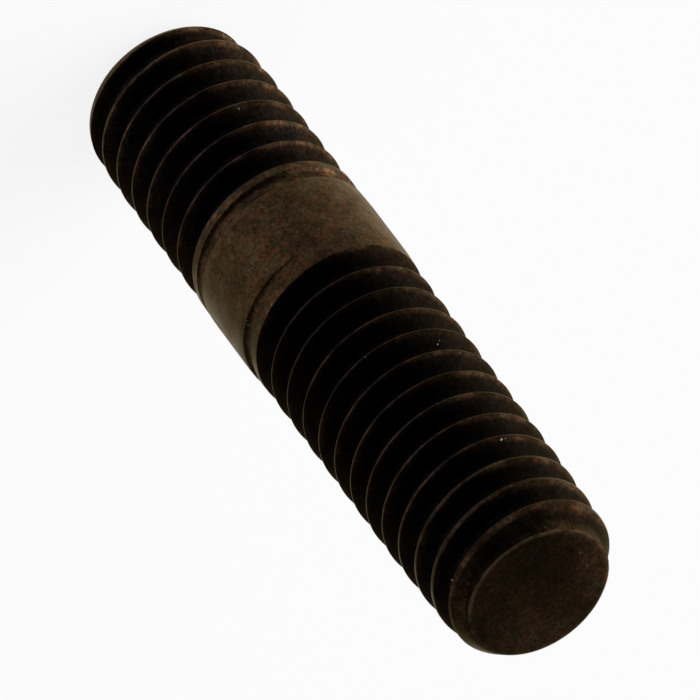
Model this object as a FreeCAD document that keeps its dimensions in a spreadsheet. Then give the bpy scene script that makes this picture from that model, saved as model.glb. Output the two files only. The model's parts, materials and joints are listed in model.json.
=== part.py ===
import FreeCAD, Part
import os
import Sketcher

# A double ended stud: one steel rod, turned, then threaded from both ends.
# The short thread screws into a tapped hole, and the long one takes a nut.
# The rod stands on its tap end. Z is its axis, and the origin is the middle of that end face.

# Driving sizes in millimetres, turns or degrees. Everything below is worked out from these.
SIZES = [
    ("tap_length", 10.93, "tap end face to plain shank"),
    ("shank_length", 5.46, "plain shank between the two threads"),
    ("nut_length", 17.46, "plain shank to nut end face"),
    ("shank_diameter", 7.85, "plain shank"),
    ("tap_crest_diameter", 7.77, "tap thread crests, beside the shank"),
    ("nut_crest_diameter", 7.72, "nut thread crests, beside the shank"),
    ("crest_taper", 0.2, "how much the crest diameter falls from the shank to the point"),
    ("shoulder_length", 0.2, "cone between crest and shank"),
    ("tap_point_diameter", 6.3, "flat tap end face, inside its chamfer"),
    ("nut_point_diameter", 6.16, "flat nut end face, inside its chamfer"),
    ("point_length", 0.75, "chamfer, along the axis"),
    ("thread_pitch", 1.4111, "18 turns to 25.4 mm"),
    ("crest_flat", 0.14, "width of the land left between two turns of the groove"),
    ("flank_angle", 30, "each flank against a cross section"),
    ("thread_depth", 0.43, "crest to groove floor"),
    ("runout_turns", 1, "turns over which the groove climbs out to the shank"),
    ("tap_tail_reach", 0.22, "how far the tap groove's tail passes onto the shank"),
    ("nut_tail_reach", 0.91, "how far the nut groove's tail passes onto the shank"),
    ("cutter_relief", 0.05, "how far the groove's section stands clear of crest and shank"),
]

TOTAL_LENGTH = "(Sizes.tap_length + Sizes.shank_length + Sizes.nut_length)"


def add_sizes(doc):
    """Put the driving sizes in a sheet, each under its own name."""
    sheet = doc.addObject("Spreadsheet::Sheet", "Sizes")
    for row, (name, value, meaning) in enumerate(SIZES, start=1):
        sheet.set(f"A{row}", name)
        sheet.set(f"B{row}", str(value))
        sheet.setAlias(f"B{row}", name)
        sheet.set(f"C{row}", meaning)
    doc.recompute()


def worked_out(item, formula):
    """What a formula over the sheet comes to now."""
    return float(item.evalExpression(formula))


def new_sketch(body, name, role):
    """An empty sketch on one of the body's own planes."""
    sketch = body.newObject("Sketcher::SketchObject", name)
    plane = next(item for item in body.Origin.OriginFeatures if item.Role == role)
    sketch.AttachmentSupport = [(plane, "")]
    sketch.MapMode = "FlatFace"
    return sketch


def bind(sketch, kind, places, name, formula):
    """Add a named dimension and tie it to its formula."""
    value = worked_out(sketch, formula)
    index = sketch.addConstraint(Sketcher.Constraint(kind, *places, value))
    sketch.renameConstraint(index, name)
    sketch.setExpression(f"Constraints.{name}", formula)


def draw_loop(sketch, points):
    """A closed loop of straight lines through the points."""
    count = len(points)
    ends = [FreeCAD.Vector(across, up, 0) for across, up in points]
    for index in range(count):
        sketch.addGeometry(Part.LineSegment(ends[index], ends[(index + 1) % count]), False)
    for index in range(count):
        sketch.addConstraint(Sketcher.Constraint("Coincident", index, 2, (index + 1) % count, 1))


def add_blank(body):
    """The turned blank: chamfered point, thread land, shank, thread land, chamfered point.

    Its section lies on the -X side, so the seam of the shank's face is clear of the nut groove's tail.
    """
    corners = [
        ("tap_face", "Sizes.tap_point_diameter / 2", "0"),
        ("tap_point", "(Sizes.tap_crest_diameter - Sizes.crest_taper) / 2", "Sizes.point_length"),
        ("tap_land", "Sizes.tap_crest_diameter / 2", "Sizes.tap_length - Sizes.shoulder_length"),
        ("tap_shank", "Sizes.shank_diameter / 2", "Sizes.tap_length"),
        ("nut_shank", "Sizes.shank_diameter / 2", "Sizes.tap_length + Sizes.shank_length"),
        ("nut_land", "Sizes.nut_crest_diameter / 2",
         "Sizes.tap_length + Sizes.shank_length + Sizes.shoulder_length"),
        ("nut_point", "(Sizes.nut_crest_diameter - Sizes.crest_taper) / 2",
         f"{TOTAL_LENGTH} - Sizes.point_length"),
        ("nut_face", "Sizes.nut_point_diameter / 2", TOTAL_LENGTH),
    ]
    sketch = new_sketch(body, "blank_section", "XZ_Plane")
    outline = [(-worked_out(sketch, radius), worked_out(sketch, height)) for _, radius, height in corners]
    draw_loop(sketch, [(0, 0)] + outline + [(0, worked_out(sketch, TOTAL_LENGTH))])
    sketch.addConstraint(Sketcher.Constraint("Coincident", 0, 1, -1, 1))
    sketch.addConstraint(Sketcher.Constraint("Horizontal", 0))
    sketch.addConstraint(Sketcher.Constraint("Horizontal", len(corners)))
    sketch.addConstraint(Sketcher.Constraint("PointOnObject", len(corners) + 1, 1, -2))
    for line, (name, radius, height) in enumerate(corners):
        bind(sketch, "DistanceX", (line, 2, -1, 1), f"{name}_radius", radius)
        if height != "0":
            bind(sketch, "DistanceY", (-1, 1, line, 2), f"{name}_height", height)

    blank = body.newObject("PartDesign::Revolution", "blank")
    blank.Profile = (sketch, [""])
    blank.ReferenceAxis = (sketch, ["V_Axis"])
    blank.Angle = 360
    blank.Document.recompute()


def add_groove_section(body, thread, height):
    """The groove's section on the rod's -Y side: a flat floor, two flanks and two straight sides.

    The straight sides pass crest and shank, and keep neighbouring turns apart.
    """
    crest = f"Sizes.{thread}_crest_diameter / 2"
    floor = f"({crest} - Sizes.thread_depth)"
    knee = f"({crest} + Sizes.cutter_relief)"
    top = f"(max(Sizes.shank_diameter / 2; {knee}) + Sizes.cutter_relief)"
    floor_width = "(Sizes.thread_pitch - Sizes.crest_flat - 2 * Sizes.thread_depth * tan(Sizes.flank_angle))"
    knee_width = (
        "(Sizes.thread_pitch - Sizes.crest_flat + 2 * Sizes.cutter_relief * tan(Sizes.flank_angle))"
    )
    sketch = new_sketch(body, f"{thread}_groove_section", "YZ_Plane")
    middle = worked_out(sketch, height)
    lower = []
    for radius, width in ((floor, floor_width), (knee, knee_width), (top, knee_width)):
        lower.append((-worked_out(sketch, radius), middle - worked_out(sketch, width) / 2))
    upper = [(across, 2 * middle - up) for across, up in reversed(lower)]
    draw_loop(sketch, lower + upper)

    floor_line = 5
    centre = sketch.addGeometry(Part.Point(FreeCAD.Vector(lower[0][0], middle, 0)), True)
    sketch.addConstraint(Sketcher.Constraint("Symmetric", floor_line, 1, floor_line, 2, centre, 1))
    sketch.addConstraint(Sketcher.Constraint("Horizontal", 1))
    sketch.addConstraint(Sketcher.Constraint("Vertical", 2))
    sketch.addConstraint(Sketcher.Constraint("Horizontal", 3))
    sketch.addConstraint(Sketcher.Constraint("Vertical", floor_line))
    sketch.addConstraint(Sketcher.Constraint("Equal", 0, 4))
    bind(sketch, "DistanceY", (-1, 1, centre, 1), "height", height)
    bind(sketch, "DistanceX", (centre, 1, -1, 1), "floor_radius", floor)
    bind(sketch, "DistanceX", (0, 2, -1, 1), "knee_radius", knee)
    bind(sketch, "DistanceX", (1, 2, -1, 1), "top_radius", top)
    bind(sketch, "DistanceY", (0, 1, floor_line, 1), "floor_width", floor_width)
    bind(sketch, "DistanceY", (0, 2, 3, 2), "knee_width", knee_width)
    return sketch


def cut_helix(body, name, section, downwards, formulas):
    """Cut a right-handed helical groove that starts at the section, and check that it removes steel."""
    helix = body.newObject("PartDesign::SubtractiveHelix", name)
    before = helix.BaseFeature.Shape.Volume
    helix.Profile = (section, [""])
    helix.ReferenceAxis = (section, ["V_Axis"])
    helix.LeftHanded = False
    helix.Reversed = downwards
    helix.Refine = False
    helix.Mode = "height-turns-growth"
    for field, formula in formulas.items():
        helix.setExpression(field, formula)
    helix.Document.recompute()
    if helix.Shape.isNull() or helix.Shape.Volume >= before:
        raise RuntimeError(f"{name} cuts nothing")


def add_thread(body, thread, full_depth_end, length_to_face, downwards):
    """One thread: a full groove out past the end face, and a tail that climbs out to the shank."""
    section = add_groove_section(body, thread, full_depth_end)
    overrun = f"({length_to_face} + Sizes.thread_pitch)"
    cut_helix(body, f"{thread}_groove", section, downwards, {
        "Height": overrun,
        "Turns": f"{overrun} / Sizes.thread_pitch",
        "Growth": "0",
    })
    rise = (
        f"(max(Sizes.shank_diameter; Sizes.{thread}_crest_diameter) / 2"
        f" - Sizes.{thread}_crest_diameter / 2 + Sizes.thread_depth + Sizes.cutter_relief)"
    )
    cut_helix(body, f"{thread}_groove_tail", section, not downwards, {
        "Height": "Sizes.runout_turns * Sizes.thread_pitch",
        "Turns": "Sizes.runout_turns",
        "Growth": f"{rise} / Sizes.runout_turns",
    })


def add_stud(doc):
    body = doc.addObject("PartDesign::Body", "stud")
    body.Label = "stud"
    body.Placement = FreeCAD.Placement()
    add_blank(body)
    tap_full = "(Sizes.tap_length + Sizes.tap_tail_reach - Sizes.runout_turns * Sizes.thread_pitch)"
    nut_full = "(Sizes.nut_length + Sizes.nut_tail_reach - Sizes.runout_turns * Sizes.thread_pitch)"
    add_thread(body, "tap", tap_full, tap_full, True)
    add_thread(body, "nut", f"({TOTAL_LENGTH} - {nut_full})", nut_full, False)
    return body


def check(doc, sub_parts):
    """Stop unless every object is up to date and each sub-part is one valid solid."""
    for item in doc.Objects:
        if {"Invalid", "Error"} & set(item.State):
            raise RuntimeError(f"{item.Name} failed: {item.State}")
    for item in sub_parts:
        if item.Shape.isNull() or not item.Shape.isValid() or len(item.Shape.Solids) != 1:
            raise RuntimeError(f"{item.Label} is not one valid solid")


doc = FreeCAD.newDocument("double_ended_stud")
add_sizes(doc)
sub_parts = [add_stud(doc)]
doc.recompute()
check(doc, sub_parts)
os.makedirs("parts", exist_ok=True)
for item in sub_parts:
    item.Shape.exportStep(f"parts/{item.Label}.step")
    print(item.Label, "volume", round(item.Shape.Volume, 2), "mm3")
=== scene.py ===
# %% [markdown]
# # A double ended stud
#
# The real object is one turned steel rod, blackened, with a short thread that screws into a tapped
# hole, a plain shank, and a long thread that takes a nut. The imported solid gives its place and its
# size. This notebook dresses it: it models the thread at its full depth, gives it a worn black
# finish, and sets a floor, a lamp and a camera round it.

# %% Load the frame
import json
import math

import bmesh
import bpy
from mathutils import Matrix, Vector


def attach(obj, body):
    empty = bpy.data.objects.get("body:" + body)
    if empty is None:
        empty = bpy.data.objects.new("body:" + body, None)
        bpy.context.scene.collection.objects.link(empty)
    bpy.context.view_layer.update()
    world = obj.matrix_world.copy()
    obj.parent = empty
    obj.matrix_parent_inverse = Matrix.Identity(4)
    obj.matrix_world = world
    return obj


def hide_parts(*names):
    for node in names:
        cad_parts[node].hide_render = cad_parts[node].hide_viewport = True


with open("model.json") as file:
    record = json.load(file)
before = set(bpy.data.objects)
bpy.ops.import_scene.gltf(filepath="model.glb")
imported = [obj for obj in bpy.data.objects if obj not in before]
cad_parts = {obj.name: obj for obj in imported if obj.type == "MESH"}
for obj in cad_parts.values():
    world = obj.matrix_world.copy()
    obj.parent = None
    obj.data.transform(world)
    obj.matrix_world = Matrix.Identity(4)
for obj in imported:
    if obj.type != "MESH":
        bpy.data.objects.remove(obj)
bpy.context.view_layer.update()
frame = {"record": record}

# %% [markdown]
# ## Sizes
#
# Lengths are in millimetres while the shape is made, because a thread is easier to read that way,
# and the finished mesh is scaled to metres once. The mounts of the solid give the lengths and the
# radii. Only the depth of the thread differs: the solid's groove stops short of the real root,
# because a groove of full depth costs it too many triangles. TINY is the distance below which two
# places count as one.

# %% Sizes of the stud
MM = 0.001
TINY = 0.001
mounts = {mount["name"]: mount for mount in frame["record"]["mounts"]}
TOTAL = mounts["nut_end"]["pos_m"][2] / MM
SHANK_LENGTH = mounts["shank"]["dims"]["length_mm"]
SHANK_START = mounts["shank"]["pos_m"][2] / MM - SHANK_LENGTH / 2
SHANK_END = SHANK_START + SHANK_LENGTH
SHANK_RADIUS = mounts["shank"]["dims"]["r_mm"]
TAP_CREST = mounts["tap_thread"]["dims"]["r_mm"]
NUT_CREST = mounts["nut_thread"]["dims"]["r_mm"]
print("shank from", round(SHANK_START, 2), "to", round(SHANK_END, 2), "of", round(TOTAL, 2), "mm")

# %% [markdown]
# ## The turned blank
#
# Before it was threaded the rod was turned to a simple outline: a chamfer at each end, a land for
# each thread, and the slightly thicker shank, which rises from the lands without a step. Towards
# each end the land also leads in, which shows in the photograph as crests that grow over the first
# few turns. The face of the long thread's end is not quite flat but crowned, by CROWN, and its rim
# lies that much lower. The outline is a short list of heights and radii, measured from each end
# face, and a helper reads the radius at any height. It serves twice, for the form of the thread and
# for how deep a point lies.

# %% Outline of the blank
RUN_IN = 1.2
CROWN = 0.06
FACE_RADIUS = 3.06
TAP_POINT = [
    (0, 3.1), (0.04, 3.16), (0.1, 3.23), (0.4, 3.53), (0.47, 3.58), (0.6, 3.64), (0.96, 3.735),
    (1.73, 3.8), (3.3, 3.85),
]
NUT_POINT = [
    (CROWN, FACE_RADIUS), (CROWN + 0.02, 3.12), (0.1, 3.18), (0.48, 3.53), (0.54, 3.57), (0.64, 3.6),
    (1.05, 3.69), (1.69, 3.72), (3.82, 3.775), (5.96, 3.825),
]
NUT_TOP = [(TOTAL - height, radius) for height, radius in reversed(NUT_POINT)]
OUTLINE = TAP_POINT + [
    (SHANK_START, TAP_CREST),
    (SHANK_START + RUN_IN, SHANK_RADIUS),
    (SHANK_END - RUN_IN, SHANK_RADIUS),
    (SHANK_END, NUT_CREST),
] + NUT_TOP


def blank_radius(height):
    """The radius of the unthreaded rod at a height."""
    height = min(max(height, 0), TOTAL)
    for (low, low_radius), (high, high_radius) in zip(OUTLINE, OUTLINE[1:]):
        if height <= high:
            return low_radius + (high_radius - low_radius) * (height - low) / (high - low)
    return OUTLINE[-1][1]


print("outline points:", len(OUTLINE))

# %% [markdown]
# ## One pitch of thread
#
# A thread is one short section carried round and along the rod. The section here is a wire of seven
# points: half a crest, a flank at 30 degrees, the root, the other flank and half a crest. A vertex
# bevel rounds the root as the die leaves it, and takes the sharpness off the crests, which is what
# makes a worn thread catch the light. Extra points on the flanks keep their shading even.

# %% Section of the thread
PITCH = 1.4111
CREST_FLAT = 0.075
ROOT_FLAT = 0.46
ROOT_ROUND = 0.14
ROOT_SEGMENTS = 4
CREST_ROUND = 0.028
CREST_SEGMENTS = 2
FLANK_CUTS = 2
FLANK_ANGLE = math.radians(30)
FLANK_SLOPE = math.tan(FLANK_ANGLE)
DEPTH = (PITCH - CREST_FLAT - ROOT_FLAT) / 2 / FLANK_SLOPE
CORNER = (PITCH - CREST_FLAT) / 2


def thread_section():
    """A wire in the XZ plane. X is 0 on the crest and less inwards, Z is 0 in the groove's middle."""
    section = bmesh.new()
    half = [(0, PITCH / 2), (0, CORNER), (-DEPTH, ROOT_FLAT / 2)]
    points = [(x, -z) for x, z in half] + [(-DEPTH, 0)] + [(x, z) for x, z in reversed(half)]
    verts = [section.verts.new((x, 0, z)) for x, z in points]
    edges = [section.edges.new(pair) for pair in zip(verts, verts[1:])]
    flanks = [edges[1], edges[4]]
    bmesh.ops.subdivide_edges(section, edges=flanks, cuts=FLANK_CUTS)
    rounds = ((ROOT_FLAT / 2, ROOT_ROUND, ROOT_SEGMENTS), (CORNER, CREST_ROUND, CREST_SEGMENTS))
    for away, offset, segments in rounds:
        corners = [vert for vert in section.verts if abs(abs(vert.co.z) - away) < TINY]
        bmesh.ops.bevel(section, geom=corners, affect="VERTICES", offset=offset, offset_type="OFFSET",
                        segments=segments, profile=0.5, material=-1)
    return section


section = thread_section()
print("groove depth", round(DEPTH, 3), "mm, section points", len(section.verts))
section.free()

# %% [markdown]
# ## Winding the section round the rod
#
# Spin with a small lift at every step sweeps the section along a helix. Its lift over one turn is
# one pitch, so a copy of that turn moved up by a pitch begins exactly where it ends, and merging
# the doubles makes one skin of all the turns. Spinning every turn in one call gives the same skin,
# but takes far longer. A right-hand thread climbs as it turns anticlockwise, seen from above.

# %% Wind a thread
TURN_STEPS = 144


def wind(crest, start, turns):
    """One skin of thread. start is the height of the groove's middle at +X, before the first turn."""
    bm = thread_section()
    bmesh.ops.translate(bm, verts=bm.verts, vec=(crest, 0, start))
    bmesh.ops.spin(bm, geom=bm.verts[:] + bm.edges[:], cent=(0, 0, 0), axis=(0, 0, 1),
                   dvec=(0, 0, PITCH / TURN_STEPS), angle=2 * math.pi, steps=TURN_STEPS)
    first_turn = bm.verts[:] + bm.edges[:] + bm.faces[:]
    for turn in range(1, turns):
        copy = bmesh.ops.duplicate(bm, geom=first_turn)["geom"]
        copied_verts = [item for item in copy if isinstance(item, bmesh.types.BMVert)]
        bmesh.ops.translate(bm, verts=copied_verts, vec=(0, 0, PITCH * turn))
    bmesh.ops.remove_doubles(bm, verts=bm.verts, dist=TINY)
    return bm


print("a turn has", TURN_STEPS, "steps and climbs", PITCH, "mm")

# %% [markdown]
# ## Where the flank meets the blank
#
# The cutter follows the blank only so far. Near a point the chamfer has taken the crest away, and
# beside the shank the groove climbs out, so the groove is shallower and narrower there. A helper
# finds its depth on one side and how far its upper corner lies from its middle. Each depends on the
# other, so it goes round twice. The rounded root ends at JOIN, where the flank begins. A groove
# always keeps a little flank, and a little land before the next groove, or the skin would fold.

# %% Corner of the groove
LEAST_FLANK = 0.01
LEAST_LAND = 0.005
JOIN = ROOT_FLAT / 2 + ROOT_ROUND / 2
JOIN_RISE = ROOT_ROUND * math.cos(FLANK_ANGLE)
CREST_DROP = CREST_ROUND * math.cos(FLANK_ANGLE)
SHALLOWEST = JOIN_RISE + CREST_DROP + LEAST_FLANK
WIDEST = PITCH / 2 - CREST_ROUND - LEAST_LAND


def groove_depth(middle, side, floor):
    """Depth of the groove at the corner on one side, and the corner's distance from the middle."""
    away = CORNER
    for _ in range(2):
        depth = blank_radius(middle + side * away) - floor
        away = min(JOIN + (max(depth, SHALLOWEST) - JOIN_RISE) * FLANK_SLOPE, WIDEST)
    return max(depth, SHALLOWEST), away


print("root rises", round(JOIN_RISE, 3), "mm before the flank begins")

# %% [markdown]
# ## Fitting the thread to the blank
#
# Every point of the wound skin then moves to its place: the root keeps its form, the flank is
# shortened or lengthened until it meets the blank, and the crest is stretched between one groove
# and the next. Cutting the blank with the thread as a boolean would do the same, but leaves slivers
# that spoil the shading. Two values are kept on each point: whether it lies on a land, and what
# share of the full depth the groove has there.

# %% Move the skin onto the blank


def fitted(offset, radius, middle, crest, lift):
    """A section point's new height and radius, whether it lies on the land, and the groove's share."""
    side = 1 if offset > 0 else -1
    away = abs(offset)
    floor = crest - DEPTH + lift
    rise = radius - (crest - DEPTH)
    depth, corner = groove_depth(middle, side, floor)
    land = away > CORNER + CREST_ROUND - TINY
    if land:
        share = (away - CORNER - CREST_ROUND) / (PITCH / 2 - CORNER - CREST_ROUND)
        away = corner + CREST_ROUND + share * (PITCH / 2 - corner - CREST_ROUND)
    elif rise > DEPTH - CREST_DROP - TINY:
        away += corner - CORNER
        rise += depth - DEPTH
    elif away > JOIN:
        stretch = (depth - JOIN_RISE - CREST_DROP) / (DEPTH - JOIN_RISE - CREST_DROP)
        away = JOIN + (away - JOIN) * stretch
        rise = JOIN_RISE + (rise - JOIN_RISE) * stretch
    height = middle + side * away
    surface = blank_radius(height)
    return height, surface if land else min(floor + rise, surface), land, (surface - floor) / DEPTH


def fit_to_blank(bm, crest, start, lift_at):
    """Moves every point of a wound thread onto the blank. lift_at is the groove's climb at a height."""
    on_land = bm.verts.layers.float.new("land")
    cut_share = bm.verts.layers.float.new("cut_share")
    for vert in bm.verts:
        turn = math.atan2(vert.co.y, vert.co.x) % (2 * math.pi)
        along = vert.co.z - start - PITCH * turn / (2 * math.pi)
        whole = math.floor(along / PITCH + 0.5)
        middle = start + PITCH * (turn / (2 * math.pi) + whole)
        radius = math.hypot(vert.co.x, vert.co.y)
        offset = along - whole * PITCH
        height, radius, land, share = fitted(offset, radius, middle, crest, lift_at(middle))
        vert.co = (radius * math.cos(turn), radius * math.sin(turn), height)
        vert[on_land] = float(land)
        vert[cut_share] = min(max(share, 0), 1)


print("full crests are", round(CREST_FLAT, 3), "mm wide before they are rounded")

# %% [markdown]
# ## Run-out tails
#
# A die opens as it leaves the rod. So each groove climbs quickly until it is a fine shallow line,
# follows the rod like that for a while, and then fades out. TAP_FULL and NUT_FULL are the heights
# where the grooves leave full depth, on the near side of the rod, and the two lists say what share
# of the climb is made after how many turns. They were read off the photograph. A straight climb
# over one turn, as the solid has it, ends the tails too soon.

# %% How a tail climbs
TAP_FULL = 9.742
NUT_FULL = 16.895
TAP_CLIMB = [(0.2, 0), (0.7, 0.6), (1.15, 0.74), (1.35, 1)]
NUT_CLIMB = [(0.15, 0), (0.8, 0.7), (1.15, 1)]


def climbed(climb, turns):
    """The share of its whole climb that a tail has made after some turns."""
    for (start, share), (end, next_share) in zip(climb, climb[1:]):
        if turns < end:
            return share + (next_share - share) * max(turns - start, 0) / (end - start)
    return climb[-1][1]


print("after one turn the tap tail has made", round(climbed(TAP_CLIMB, 1), 2), "of its climb")

# %% [markdown]
# ## Trimming to length
#
# Cuts by level planes trim a skin: one at the end face and one in the plain shank, each of which
# clears what lies past it, and a few that only add a ring of edges where the outline changes its
# slope. Without those rings the faces of a chamfer would bridge its corner. A cut splits edges in
# the straight, so the points that it adds on a land are put back on the outline.

# %% A level cut
CUT_TOLERANCE = 0.0005
WHOLLY_ON_LAND = 0.99


def level_cut(bm, height, clear_above=False, clear_below=False):
    """A cut by a level plane. The points it adds on a land are put on the blank."""
    on_land = bm.verts.layers.float["land"]
    cut = bmesh.ops.bisect_plane(bm, geom=bm.verts[:] + bm.edges[:] + bm.faces[:], dist=CUT_TOLERANCE,
                                 plane_co=(0, 0, height), plane_no=(0, 0, 1),
                                 clear_outer=clear_above, clear_inner=clear_below)["geom_cut"]
    surface = blank_radius(height)
    for vert in [item for item in cut if isinstance(item, bmesh.types.BMVert)]:
        radius = math.hypot(vert.co.x, vert.co.y)
        if vert[on_land] > WHOLLY_ON_LAND or radius > surface:
            vert.co.x *= surface / radius
            vert.co.y *= surface / radius


print("rings at", len(TAP_POINT + NUT_TOP), "heights of the outline")

# %% [markdown]
# ## Two threads
#
# Each thread is wound, fitted and trimmed on its own, and its first turn starts well past its end
# face. The near side is -Y, a quarter turn before +X where a winding starts, which is why a quarter
# of a pitch is added. The grooves are wound from the same phase as the solid's, so that the two
# agree wherever they are compared.

# %% Wind and trim both threads
TAP_CUT = 12.2
NUT_CUT = 14.35
OUT_OF_STEEL = 0.05
SPARE_TURNS = 0.6


def threaded_half(crest, full, direction, shank_cut, climb):
    """A thread from its end face to a cut in the shank. direction is 1 where its tail climbs up."""
    rise = SHANK_RADIUS - crest + DEPTH + OUT_OF_STEEL
    low, high = (0, shank_cut) if direction > 0 else (shank_cut, TOTAL - CROWN)
    phase = full + PITCH / 4
    start = phase - PITCH * math.ceil((phase - low) / PITCH + SPARE_TURNS)
    turns = math.ceil((high - start) / PITCH + SPARE_TURNS)
    bm = wind(crest, start, turns)
    fit_to_blank(bm, crest, start,
                 lambda middle: climbed(climb, direction * (middle - full) / PITCH) * rise)
    for height, _ in TAP_POINT + NUT_TOP:
        if low + TINY < height < high - TINY:
            level_cut(bm, height)
    level_cut(bm, high, clear_above=True)
    level_cut(bm, low, clear_below=True)
    return bm


tap_half = threaded_half(TAP_CREST, TAP_FULL, 1, TAP_CUT, TAP_CLIMB)
nut_half = threaded_half(NUT_CREST, NUT_FULL, -1, NUT_CUT, NUT_CLIMB)
print("tap half:", len(tap_half.faces), "faces; nut half:", len(nut_half.faces), "faces")

# %% [markdown]
# ## One closed skin
#
# The two halves meet in the plain shank. Each open ring there first loses the points that the cut
# put between the skin's own columns, so both rings have the same points, and a bridge joins them
# with long straight faces.

# %% Join the halves


def open_ring(bm, height):
    """The open edges at a height."""
    return [edge for edge in bm.edges
            if edge.is_boundary and all(abs(vert.co.z - height) < TINY for vert in edge.verts)]


def between_columns(vert):
    """Whether a point lies between two columns of the wound skin."""
    column = math.atan2(vert.co.y, vert.co.x) / (2 * math.pi) * TURN_STEPS
    return abs(column - round(column)) > TINY


stud_skin = tap_half
nut_mesh = bpy.data.meshes.new("nut_half")
nut_half.to_mesh(nut_mesh)
nut_half.free()
stud_skin.from_mesh(nut_mesh)
bpy.data.meshes.remove(nut_mesh)

for height in (TAP_CUT, NUT_CUT):
    ring = {vert for edge in open_ring(stud_skin, height) for vert in edge.verts}
    bmesh.ops.dissolve_verts(stud_skin, verts=[vert for vert in ring if between_columns(vert)])
    print("ring at", height, "mm:", len(open_ring(stud_skin, height)), "edges")
bmesh.ops.bridge_loops(stud_skin, edges=open_ring(stud_skin, TAP_CUT) + open_ring(stud_skin, NUT_CUT))

# %% [markdown]
# ## End faces
#
# The two open ends are filled. Every inset of a cap adds one ring of edges, which is scaled
# inwards: the outermost keeps the shading flat up to the worn rim, and all of them together carry
# the low crown of the upper face. A single large face could not be crowned.

# %% Close the ends
CAP_RINGS = (0.98, 0.82, 0.78, 0.7, 0.55)

for height, rise in ((0, 0), (TOTAL - CROWN, CROWN)):
    cap = bmesh.ops.contextual_create(stud_skin, geom=open_ring(stud_skin, height))["faces"]
    for share in CAP_RINGS:
        bmesh.ops.inset_region(stud_skin, faces=cap, thickness=TINY)
        bmesh.ops.scale(stud_skin, verts=cap[0].verts, vec=(share, share, 1))
        for vert in cap[0].verts:
            vert.co.z = height + rise * (1 - vert.co.xy.length_squared / FACE_RADIUS ** 2)
bmesh.ops.recalc_face_normals(stud_skin, faces=stud_skin.faces)
loose = [edge for edge in stud_skin.edges if not edge.is_manifold]
print("skin:", len(stud_skin.faces), "faces,", len(loose), "edges not closed")

# %% [markdown]
# ## How deep each point lies
#
# The finish needs to know shank, crest and root apart: crests are rubbed, and the grooves are painted
# darker, as painted shade, with the oil and soot that the roots keep. An attribute on the points holds
# that: 0 on the shank, 0.1 on a full crest and 1 at a full root, and less where a groove is only a
# tail. Reading the depth from the object's coordinates would need the whole outline in nodes.

# %% Depth as an attribute
FULL_CREST = 0.1

depth_below = stud_skin.verts.layers.float.new("groove")
cut_share = stud_skin.verts.layers.float["cut_share"]
for vert in stud_skin.verts:
    radius = math.hypot(vert.co.x, vert.co.y)
    surface = blank_radius(vert.co.z)
    if TINY < vert.co.z < TOTAL - CROWN - TINY:
        below = min(max((surface - radius) / DEPTH, 0), 1)
        vert[depth_below] = vert[cut_share] * (FULL_CREST + (1 - FULL_CREST) * below)
print("deepest point:", round(max(vert[depth_below] for vert in stud_skin.verts), 3))

# %% [markdown]
# ## A chamfer that isn't square
#
# The chamfer of the upper end was not cut square to the rod: in the photograph it is wider on the
# near side. So the points above its lower edge, UNEVEN below the top, move a little towards the far
# side, and the face grows smaller. Moving them by a share that grows with the height keeps the
# chamfer straight. Then the whole skin is scaled from millimetres to metres.

# %% Shift the upper end
UNEVEN = 0.48
FACE_SHRINK = 0.012
FACE_SHIFT = Vector((0.06, 0.14))

for vert in stud_skin.verts:
    share = min(max((vert.co.z - TOTAL + UNEVEN) / (UNEVEN - CROWN), 0), 1)
    vert.co.xy = vert.co.xy * (1 - FACE_SHRINK * share) + FACE_SHIFT * share
bmesh.ops.scale(stud_skin, verts=stud_skin.verts, vec=(MM, MM, MM))
for face in stud_skin.faces:
    face.smooth = True
print("face moved by", round(FACE_SHIFT.length, 3), "mm")

# %% [markdown]
# ## The piece
#
# The skin becomes one piece that rides on the root body and takes the place of the solid's stud,
# which is hidden. All its faces are smooth, and a Weighted Normal modifier lets the large ones set the
# shading of the narrow ones beside them. That keeps flanks, lands and end faces flat, which sharp
# edges would do too, but with hard lines where the real steel is rounded.

# %% The stud as an object
stud_mesh = bpy.data.meshes.new("threaded_stud")
stud_skin.to_mesh(stud_mesh)
stud_skin.free()
stud = bpy.data.objects.new("threaded_stud", stud_mesh)
bpy.context.collection.objects.link(stud)
even_shading = stud.modifiers.new("even_shading", "WEIGHTED_NORMAL")
even_shading.mode = "FACE_AREA"
even_shading.keep_sharp = False
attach(stud, "root")
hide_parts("stud")
print("stud:", len(stud_mesh.polygons), "faces, box", [round(side / MM, 2) for side in stud.dimensions])

# %% [markdown]
# ## Black oxide
#
# The finish is magnetite on steel: a very dark brown skin, half matt, that only shines where light
# grazes it. It could be a black paint with a clear coat, but its highlights are warm, not white, so
# it is made as a dark metal. The tint of a metal's edge is kept a little below white, because a
# full one would let the sides of the rod fade into the pale room behind them.

# %% A dark metal
GRAZING_TINT = (0.86, 0.77, 0.62, 1)

black_oxide = bpy.data.materials.new("black_oxide")
black_oxide.use_nodes = True
nodes = black_oxide.node_tree.nodes
links = black_oxide.node_tree.links
shader = nodes["Principled BSDF"]
shader.inputs["Metallic"].default_value = 1.0
shader.inputs["Specular Tint"].default_value = GRAZING_TINT
print("shader:", shader.name)

# %% [markdown]
# ## Helpers for patterns
#
# All that varies over the finish is noise or a slow change along the object's own coordinates, so
# it stays on the stud when the stud moves. Three short helpers make a noise field, a colour ramp
# over any value, and an even fade. They add to the node tree that nodes and links stand for at the
# time, so the room's light can use them later.

# %% Noise, ramp and fade
place = nodes.new("ShaderNodeTexCoord")


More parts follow.
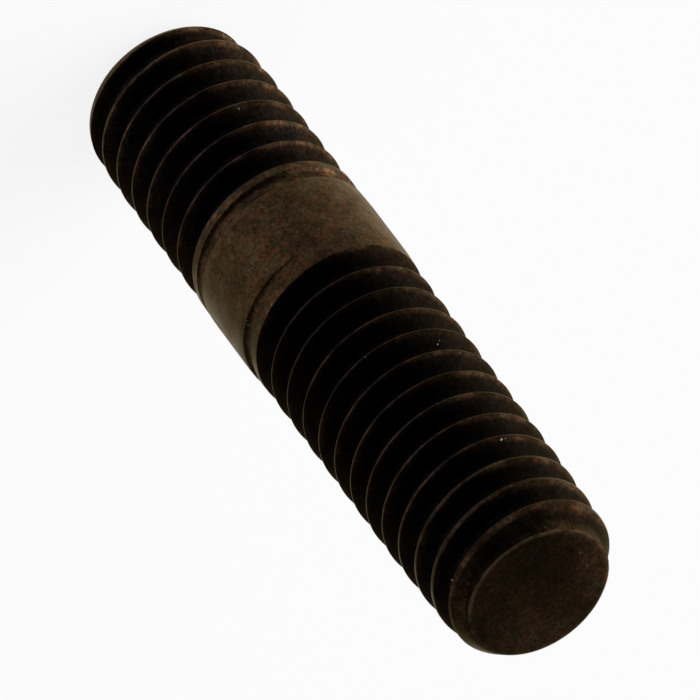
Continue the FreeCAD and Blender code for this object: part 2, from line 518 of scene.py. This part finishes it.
def noise_field(scale, detail, stretch=(1, 1, 1), roughness=0.55):
    """Noise over the object's own coordinates, in features to the metre, and its value socket."""
    stretched = nodes.new("ShaderNodeMapping")
    stretched.inputs["Scale"].default_value = stretch
    field = nodes.new("ShaderNodeTexNoise")
    field.inputs["Scale"].default_value = scale
    field.inputs["Detail"].default_value = detail
    field.inputs["Roughness"].default_value = roughness
    links.new(place.outputs["Object"], stretched.inputs["Vector"])
    links.new(stretched.outputs["Vector"], field.inputs["Vector"])
    return field.outputs["Fac"]


def ramp(source, stops):
    """A colour ramp over a value: stops are pairs of a position and a colour or a grey level."""
    node = nodes.new("ShaderNodeValToRGB")
    elements = node.color_ramp.elements
    while len(elements) < len(stops):
        elements.new(0.5)
    for element, (position, colour) in zip(elements, stops):
        element.position = position
        element.color = (*colour, 1) if isinstance(colour, tuple) else (colour, colour, colour, 1)
    links.new(source, node.inputs["Fac"])
    return node.outputs["Color"]


def fade(source, start, end, lowest=0):
    """A value from lowest at start to 1 at end. A colour ramp is too coarse for a thin band."""
    node = nodes.new("ShaderNodeMapRange")
    node.inputs["From Min"].default_value = start
    node.inputs["From Max"].default_value = end
    node.inputs["To Min"].default_value = lowest
    links.new(source, node.inputs["Value"])
    return node.outputs["Result"]


print("patterns follow the coordinates named", place.outputs["Object"].name)

# %% [markdown]
# ## Laying one tone over another
#
# A worn finish is a stack of faint layers. The last helper joins two colours by a blend type, and
# its amount may be a mask. Multiplying is the one used most: a layer of 1 leaves the tone as it is,
# more pales it and less darkens it. A Mix node has a socket of every data type under each name, so
# those for colours are picked by number.

# %% Blend two colours
MIX_AMOUNT, MIX_FIRST, MIX_SECOND, MIX_RESULT = 0, 6, 7, 2


def mixed(kind, amount, first, second):
    """Two colours joined by a blend type. amount and second may be a socket or a value."""
    node = nodes.new("ShaderNodeMix")
    node.data_type = "RGBA"
    node.blend_type = kind
    for number, value in ((MIX_AMOUNT, amount), (MIX_FIRST, first), (MIX_SECOND, second)):
        if isinstance(value, bpy.types.NodeSocket):
            links.new(value, node.inputs[number])
        else:
            node.inputs[number].default_value = value
    return node.outputs[MIX_RESULT]


print("mix sockets:", MIX_AMOUNT, MIX_FIRST, MIX_SECOND, "to", MIX_RESULT)

# %% [markdown]
# ## Where on the stud
#
# The layers read three things: how deep a point lies, its place as a share of the stud's width and
# length, which is what ramps need, and its place in metres, for the thin bands at the end face.

# %% Coordinates on the stud
SHARES_ACROSS = 127
SHARES_ALONG = 29.5

groove = nodes.new("ShaderNodeAttribute")
groove.attribute_name = "groove"
depth = groove.outputs["Fac"]
spread = nodes.new("ShaderNodeMapping")
spread.inputs["Location"].default_value = (0.5, 0.5, 0)
spread.inputs["Scale"].default_value = (SHARES_ACROSS, SHARES_ACROSS, SHARES_ALONG)
along = nodes.new("ShaderNodeSeparateXYZ")
links.new(place.outputs["Object"], spread.inputs["Vector"])
links.new(spread.outputs["Vector"], along.inputs["Vector"])
in_metres = nodes.new("ShaderNodeSeparateXYZ")
links.new(place.outputs["Object"], in_metres.inputs["Vector"])
up = in_metres.outputs["Z"]
print("the stud spans", round(TOTAL * MM * SHARES_ALONG, 3), "of the share along it")

# %% [markdown]
# ## Tones of the whole rod
#
# The skin is brown on the shank and the crests. The much darker flanks and nearly black roots are
# painted shade for the grooves, with oil and a trace of blue in the roots. Over that lie patches a
# few tenths of a millimetre across, a finer mottle, and a drift between a redder and a greyer brown.
# Painted light also makes the rod paler on the lamp's side and darker on the far side, in bands along
# it. Each layer is one ramp, so that one can be changed alone.

# %% Depth, sides and mottle
SHANK_BROWN = (0.032, 0.018, 0.009)
CREST_BROWN = (0.030, 0.017, 0.0085)
FLANK_PAINTED_SHADE = (0.0085, 0.0052, 0.0034)
ROOT_OIL_AND_SHADE = (0.003, 0.0024, 0.0024)
PATCHES, MOTTLES, DRIFTS = 1400, 6500, 3000

# The darker flanks and nearly black roots are painted shade in the grooves, with oil in the roots.
toned = ramp(depth, [(0, SHANK_BROWN), (0.12, CREST_BROWN), (0.3, FLANK_PAINTED_SHADE), (0.85, ROOT_OIL_AND_SHADE)])
# Painted light: paler on the lamp's side of the rod, darker on the far side.
painted_side_light = ramp(along.outputs["X"], [(0.03, 2.5), (0.15, 1.5), (0.35, 0.78), (0.5, 0.98),
                                     (0.66, 1.38), (0.8, 1.0), (0.95, 0.6)])
patches = ramp(noise_field(PATCHES, 5, roughness=0.7), [(0.34, 0.6), (0.5, 1.0), (0.66, 1.5)])
mottle = ramp(noise_field(MOTTLES, 2), [(0.3, 0.5), (0.5, 1.0), (0.7, 1.6)])
hue = ramp(noise_field(DRIFTS, 2), [(0.35, (1.2, 0.9, 0.85)), (0.5, (1.0, 1.0, 1.0)),
                                    (0.65, (0.88, 1.06, 1.05))])
for layer in (painted_side_light, patches, mottle, hue):
    toned = mixed("MULTIPLY", 1.0, toned, layer)
print("nodes so far:", len(nodes))

# %% [markdown]
# ## Tones of the threads
#
# The threads are painted darker than the shank, as painted shade, and bluer on the near side, as a
# painted reflection of the dark blue room overhead. Their flanks get painted light towards +X. Their
# crests are rubbed unevenly, in stretches that follow the turns, and the short thread is rubbed more
# than the long one. Three masks over the depth say where each layer counts: in all of the thread, on
# its crests, or in its grooves. A material of its own for each part would leave a line between them.

# %% Crests and grooves
WEAR_STRETCH = (800, 800, 2200)

in_thread = ramp(depth, [(0.02, 0), (0.09, 1)])
on_crest = ramp(depth, [(0.02, 0), (0.09, 1), (0.16, 1), (0.3, 0.12)])
in_groove = ramp(depth, [(0.15, 0), (0.35, 1)])
# Painted shade and reflection: threads darker overall, bluer in the middle of the near side.
thread_painted_light = ramp(along.outputs["X"], [(0.08, 0.42), (0.3, 0.56), (0.5, (0.38, 0.42, 0.75)),
                                        (0.75, (0.50, 0.52, 0.66)), (0.92, 0.35)])
thread_wear = ramp(noise_field(1, 3, stretch=WEAR_STRETCH), [(0.38, 0.4), (0.5, 0.95), (0.62, 1.9)])
tap_wear = ramp(along.outputs["Z"], [(0.33, 1.9), (0.5, 1.0)])
# Painted light: the flanks paler towards +X.
groove_painted_light = ramp(along.outputs["X"], [(0.55, 1.0), (0.8, 1.7), (0.95, 2.4)])
for mask, layer in ((in_thread, thread_painted_light), (on_crest, thread_wear), (in_thread, tap_wear),
                    (in_groove, groove_painted_light)):
    toned = mixed("MULTIPLY", mask, toned, layer)
print("nodes so far:", len(nodes))

# %% [markdown]
# ## The upper face and its rim
#
# Painted light makes the upper face darker towards the viewer and paler at the far side and on the
# lamp's side. Its rim carries a painted highlight on the near side, broken into patches where it is
# also rubbed towards bare steel. The face is picked by its height, and the rim by a band a few
# hundredths of a millimetre high, faded in below the edge and out above it. Painting the rim by hand
# would need its own UV map. Each pair of numbers is where a fade starts and ends, in millimetres from
# its level.

# %% Face tone and worn rim
FACE_EDGE = TOTAL - CROWN
FACE_FADE = (-0.22, 0.04)
RIM_IN, RIM_OUT = (-0.025, -0.005), (0.007, 0.001)
FAR_TO_NEAR = (1.5, -2.5)
RIM_HIGHLIGHT_AND_WEAR = (0.17, 0.11, 0.06, 1)
RIM_PATCHES = 900


def fade_about(source, level, ends):
    """A fade between two distances from a level, in millimetres."""
    start, end = ends
    return fade(source, (level + start) * MM, (level + end) * MM)


on_face = fade_about(up, TOTAL, FACE_FADE)
# Painted light: the face darker near the viewer, paler far away and on the lamp's side.
face_painted_light_near = ramp(along.outputs["Y"], [(0.12, 0.35), (0.4, 0.5), (0.6, 0.95), (0.85, 1.6)])
face_painted_light_side = ramp(along.outputs["X"], [(0.15, 1.6), (0.35, 1.0), (0.5, 0.85), (0.85, 1.0)])
for layer in (face_painted_light_near, face_painted_light_side):
    toned = mixed("MULTIPLY", on_face, toned, layer)
# A painted highlight along the near rim, broken into patches of rubbed steel.
rim_highlight_and_wear = fade_about(up, FACE_EDGE, RIM_IN)
rim_above = fade_about(up, FACE_EDGE, RIM_OUT)
rim_highlight_near = fade_about(in_metres.outputs["Y"], 0, FAR_TO_NEAR)
rim_wear = ramp(noise_field(RIM_PATCHES, 2), [(0.42, 0.1), (0.57, 1.0)])
for layer in (rim_above, rim_highlight_near, rim_wear):
    rim_highlight_and_wear = mixed("MULTIPLY", 1.0, rim_highlight_and_wear, layer)
toned = mixed("MIX", rim_highlight_and_wear, toned, RIM_HIGHLIGHT_AND_WEAR)
print("rim at", round(FACE_EDGE, 2), "mm")

# %% [markdown]
# ## Specks and gloss
#
# Handling chips the skin down to steel in single specks, which are the only bright points in the
# photograph. They are the very top of a noise field, so they are few and small. The gloss varies in
# patches of its own, between half matt and nearly matt.

# %% Specks and roughness
BARE_STEEL = (0.24, 0.20, 0.15, 1)
SPECKS, GLOSS_PATCHES = 2700, 1500

specks = ramp(noise_field(SPECKS, 2), [(0.76, 0), (0.79, 1)])
finish_colour = mixed("MIX", specks, toned, BARE_STEEL)
links.new(finish_colour, shader.inputs["Base Color"])
gloss = ramp(noise_field(GLOSS_PATCHES, 3), [(0.3, 0.36), (0.7, 0.48)])
links.new(gloss, shader.inputs["Roughness"])
print("finish nodes:", len(nodes))

# %% [markdown]
# ## Turning lines and grain
#
# The lathe leaves fine rings round the rod, and the oxide has a grain of its own. Both are far too
# fine to model, so they are bumps, one through the other. The rings are noise that is stretched
# along the axis: it changes quickly upwards and hardly round the rod.

# %% Bumps
RING_STRETCH = (150, 150, 9000)
GRAINS = 5000
RING_STRENGTH, GRAIN_STRENGTH = 0.12, 0.25
BUMP_HEIGHT = 0.00002


def bump(height, strength):
    """A bump node over a height."""
    node = nodes.new("ShaderNodeBump")
    node.inputs["Strength"].default_value = strength
    node.inputs["Distance"].default_value = BUMP_HEIGHT
    links.new(height, node.inputs["Height"])
    return node


rings = bump(noise_field(1, 2, stretch=RING_STRETCH), RING_STRENGTH)
grain = bump(noise_field(GRAINS, 3), GRAIN_STRENGTH)
links.new(rings.outputs["Normal"], grain.inputs["Normal"])
links.new(grain.outputs["Normal"], shader.inputs["Normal"])
stud.data.materials.append(black_oxide)
print("finish on:", stud.name)

# %% [markdown]
# ## Floor
#
# The photograph has a plain white ground. A single large square does for it, because the camera
# looks down and never sees its edge as a horizon.

# %% Floor sheet
FLOOR_REACH = 1.5

floor_mesh = bpy.data.meshes.new("floor")
floor_plan = bmesh.new()
bmesh.ops.create_grid(floor_plan, x_segments=1, y_segments=1, size=FLOOR_REACH)
floor_plan.to_mesh(floor_mesh)
floor_plan.free()
floor = bpy.data.objects.new("floor", floor_mesh)
bpy.context.collection.objects.link(floor)
print("floor:", round(2 * FLOOR_REACH, 1), "m across")

# %% [markdown]
# ## White paper
#
# The camera and the reflections see the paper lifted to white by a little light of its own, over a
# grey that still takes the stud's shadow. The light that it throws back on the stud is that of
# plain paper. More lamp on the paper would whiten it too, but would also wash out the dark stud.

# %% Paper finish
PLAIN_GREY, SHADOW_GREY = 0.8, 0.3
LIFT = 0.86

paper = bpy.data.materials.new("white_paper")
paper.use_nodes = True
nodes = paper.node_tree.nodes
links = paper.node_tree.links
nodes.remove(nodes["Principled BSDF"])


def matt(grey):
    """The output of a matt grey shader."""
    node = nodes.new("ShaderNodeBsdfDiffuse")
    node.inputs["Color"].default_value = (grey, grey, grey, 1)
    return node.outputs["BSDF"]


def greater(first, second):
    """The greater of two values."""
    node = nodes.new("ShaderNodeMath")
    node.operation = "MAXIMUM"
    links.new(first, node.inputs[0])
    links.new(second, node.inputs[1])
    return node.outputs["Value"]


lifted = nodes.new("ShaderNodeEmission")
lifted.inputs["Strength"].default_value = LIFT
seen_paper = nodes.new("ShaderNodeAddShader")
links.new(matt(SHADOW_GREY), seen_paper.inputs[0])
links.new(lifted.outputs["Emission"], seen_paper.inputs[1])
ray = nodes.new("ShaderNodeLightPath")
seen_or_mirrored = greater(ray.outputs["Is Camera Ray"], ray.outputs["Is Glossy Ray"])
choice = nodes.new("ShaderNodeMixShader")
links.new(greater(seen_or_mirrored, ray.outputs["Is Transmission Ray"]), choice.inputs["Fac"])
links.new(matt(PLAIN_GREY), choice.inputs[1])
links.new(seen_paper.outputs["Shader"], choice.inputs[2])
links.new(choice.outputs["Shader"], nodes["Material Output"].inputs["Surface"])
floor.data.materials.append(paper)
print("paper nodes:", len(nodes))

# %% [markdown]
# ## The room
#
# The flanks that face the camera are nearly black in the photograph, so nothing bright hangs over
# the stud. The room is a world background, pale at the height of the horizon, fading to a very dark
# blue overhead, and dimmer on the viewer's side. Walls and panels could be modelled, but a soft
# background lights the metal just as well.

# %% Room light
ROOM_TONES = [(0, 0.62), (0.5, 0.42), (0.7, 0.26), (0.82, 0.12), (0.93, (0.02, 0.022, 0.04)),
              (1, (0.006, 0.009, 0.03))]
DIM_SIDE, BRIGHT_SIDE, DIMMEST = -0.9, 0.0, 0.12

room = bpy.data.worlds.new("studio_room")
room.use_nodes = True
nodes = room.node_tree.nodes
links = room.node_tree.links
view = nodes.new("ShaderNodeTexCoord")
direction = nodes.new("ShaderNodeSeparateXYZ")
links.new(view.outputs["Generated"], direction.inputs["Vector"])
by_height = ramp(direction.outputs["Z"], ROOM_TONES)
by_side = fade(direction.outputs["Y"], DIM_SIDE, BRIGHT_SIDE, lowest=DIMMEST)
room_colour = mixed("MULTIPLY", 1.0, by_height, by_side)
links.new(room_colour, nodes["Background"].inputs["Color"])
bpy.context.scene.world = room
print("room:", room.name, "with", len(nodes), "nodes")

# %% [markdown]
# ## The lamp
#
# One broad soft lamp stands to the left and a little behind, as a window would. It gives the near
# rim and the left edges of shank and crests their brown light, which painted light in the finish
# strengthens. A small lamp would draw hard, narrow streaks along them.

# %% Soft lamp
LAMP_PLACE = Vector((-0.50, 0.19, 0.33))
LAMP_AIM = Vector((0, 0, 0.016))
LAMP_WIDTH, LAMP_HEIGHT = 0.7, 0.45
LAMP_POWER = 1.7

lamp_data = bpy.data.lights.new("side_softbox", "AREA")
lamp_data.shape = "RECTANGLE"
lamp_data.size = LAMP_WIDTH
lamp_data.size_y = LAMP_HEIGHT
lamp_data.energy = LAMP_POWER
lamp = bpy.data.objects.new("side_softbox", lamp_data)
lamp.location = LAMP_PLACE
lamp.rotation_euler = (LAMP_AIM - LAMP_PLACE).to_track_quat("-Z", "Y").to_euler()
bpy.context.collection.objects.link(lamp)
print("lamp:", round((LAMP_AIM - LAMP_PLACE).length, 2), "m away")

# %% [markdown]
# ## The camera
#
# The photograph looks down on the stud's upper end, and the picture is turned so that the rod runs
# from the upper left to the lower right. The camera's three directions are built from that: how
# steeply it looks, and how far the rod's axis runs to the right and down in the picture. The size
# and place of the stud in the frame then give the lens and the point that the camera aims at, so no
# shift is needed. The colours are shown as plain sRGB, with the Standard view.

# %% Camera
FRAME = 700
SENSOR = 36
PIXELS_PER_MM = 25.03
DISTANCE = 0.7990
ELEVATION = math.radians(42.6)
AXIS_RIGHT, AXIS_DOWN = 0.60016, 0.79988
MIDDLE_X, MIDDLE_Y = 348.19, 337.45
NEAREST, FARTHEST = 0.05, 20

away = Vector((0, -math.cos(ELEVATION), math.sin(ELEVATION)))
level_right = Vector((1, 0, 0))
level_up = Vector((0, math.sin(ELEVATION), math.cos(ELEVATION)))
camera_right = -AXIS_DOWN * level_right + AXIS_RIGHT * level_up
camera_up = -AXIS_RIGHT * level_right - AXIS_DOWN * level_up
aim = Vector((0, 0, TOTAL * MM / 2))
aim -= camera_right * (MIDDLE_X - FRAME / 2) / PIXELS_PER_MM * MM
aim += camera_up * (MIDDLE_Y - FRAME / 2) / PIXELS_PER_MM * MM
camera_data = bpy.data.cameras.new("camera")
camera_data.sensor_width = SENSOR
camera_data.lens = PIXELS_PER_MM / MM * DISTANCE / FRAME * SENSOR
camera_data.clip_start = NEAREST
camera_data.clip_end = FARTHEST
camera = bpy.data.objects.new("camera", camera_data)
camera.matrix_world = Matrix.Translation(aim + away * DISTANCE) @ Matrix(
    (camera_right, camera_up, away)).transposed().to_4x4()
bpy.context.collection.objects.link(camera)
bpy.context.scene.camera = camera
bpy.context.scene.view_settings.view_transform = "Standard"
print("lens", round(camera_data.lens), "mm")
